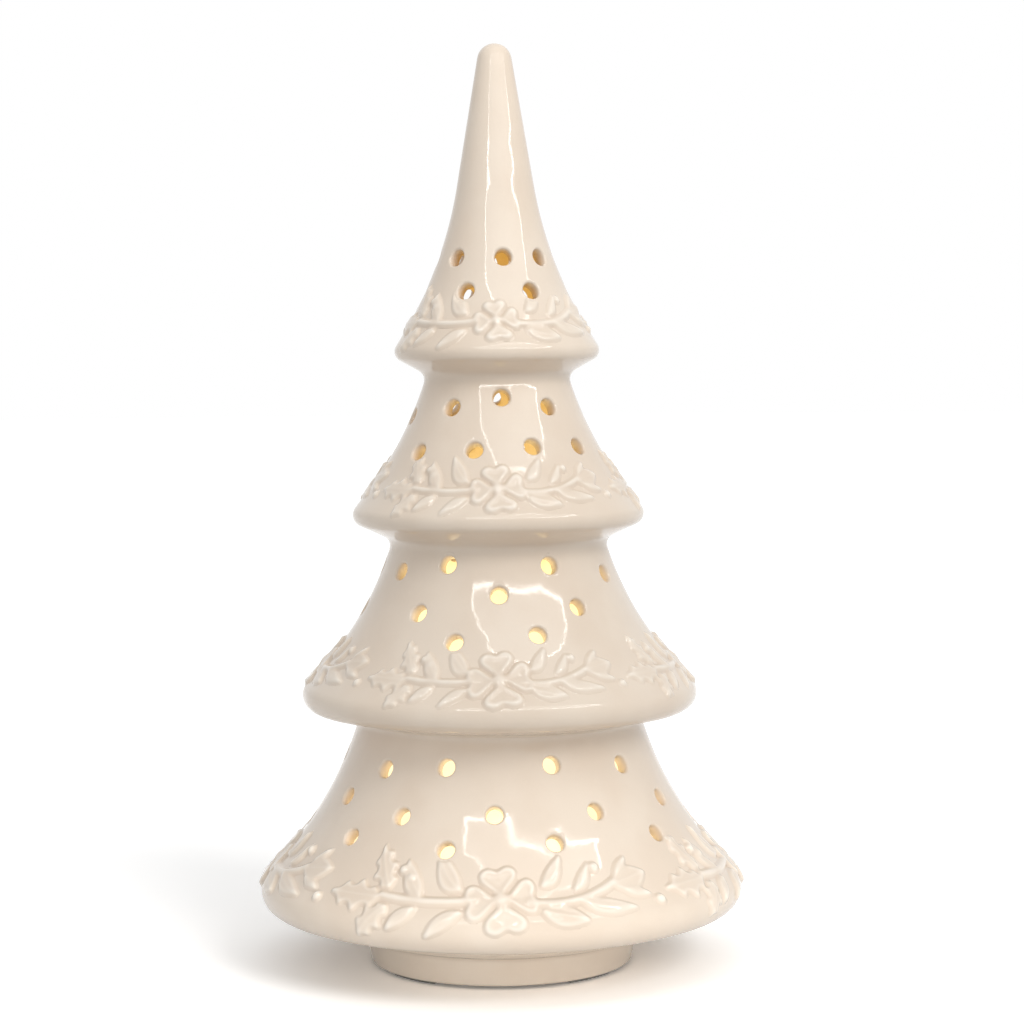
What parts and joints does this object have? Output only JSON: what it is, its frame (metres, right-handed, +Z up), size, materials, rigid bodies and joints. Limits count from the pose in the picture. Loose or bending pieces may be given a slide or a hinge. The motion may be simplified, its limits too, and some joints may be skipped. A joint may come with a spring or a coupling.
{
  "type": "ceramic christmas tree",
  "caption": "Glazed ceramic Christmas tree lantern: flared tiers with pierced light holes and sprig relief on each brim, over a battery light unit gripped in the foot.",
  "frame": {"origin": "on the table, under the tip, at the centre of the foot", "axes": "+Z up through the tip; the front of the tree, with a flower in the middle of each brim, faces -Y"},
  "size_m": [0.1594, 0.1594, 0.3],
  "materials": {
    "cream_glaze": "glossy cream glaze",
    "felt": "brown-grey felt",
    "housing_plastic": "satin off-white moulding",
    "silicone": "matt silicone",
    "cell_jacket": "plain printed jacket, no marks",
    "nickel": "nickel-plated spring steel",
    "switch_plastic": "black moulding",
    "screw_steel": "zinc-plated",
    "board_white": "white solder mask",
    "led_lens": "warm white emitter",
    "frosted_diffuser": "frosted, lit from inside",
    "lead_black": "wire insulation",
    "lead_red": "wire insulation"
  },
  "bodies": {
    "light_unit": {"light_cup": "housing_plastic", "grip_ring": "silicone", "cell_1": "cell_jacket", "cell_2": "cell_jacket", "cell_3": "cell_jacket", "contact_negative": "nickel", "contact_positive": "nickel", "contact_bridge_left": "nickel", "contact_bridge_right": "nickel", "switch_body": "switch_plastic", "switch_screws": "screw_steel", "switch_pins": "nickel", "light_deck": "housing_plastic", "deck_screws": "screw_steel", "led_board": "board_white", "board_screws": "screw_steel", "leds": "led_lens", "diffuser": "frosted_diffuser", "lead_negative": "lead_black", "lead_positive": "lead_red", "lead_switched": "lead_red"},
    "tree": {"shell_foot": "cream_glaze", "shell_1": "cream_glaze", "shell_2": "cream_glaze", "shell_3": "cream_glaze", "shell_4": "cream_glaze", "garland_1": "cream_glaze", "garland_2": "cream_glaze", "garland_3": "cream_glaze", "garland_4": "cream_glaze", "felt_pads": "felt"},
    "battery_door": {"battery_door": "housing_plastic"},
    "switch_knob": {"switch_knob": "switch_plastic"}
  },
  "joints": [
    {"name": "tree_lift", "type": "slide", "parent": "light_unit", "child": "tree", "axis": [0, 0, 1], "range_m": [0, 0.1]},
    {"name": "battery_door_hinge", "type": "hinge", "parent": "light_unit", "child": "battery_door", "pos_m": [0, -0.01695, 0.0034], "axis": [-1, 0, 0], "range_deg": [0, 100]},
    {"name": "switch_slide", "type": "slide", "parent": "light_unit", "child": "switch_knob", "axis": [1, 0, 0], "range_m": [-0.004, 0]}
  ]
}
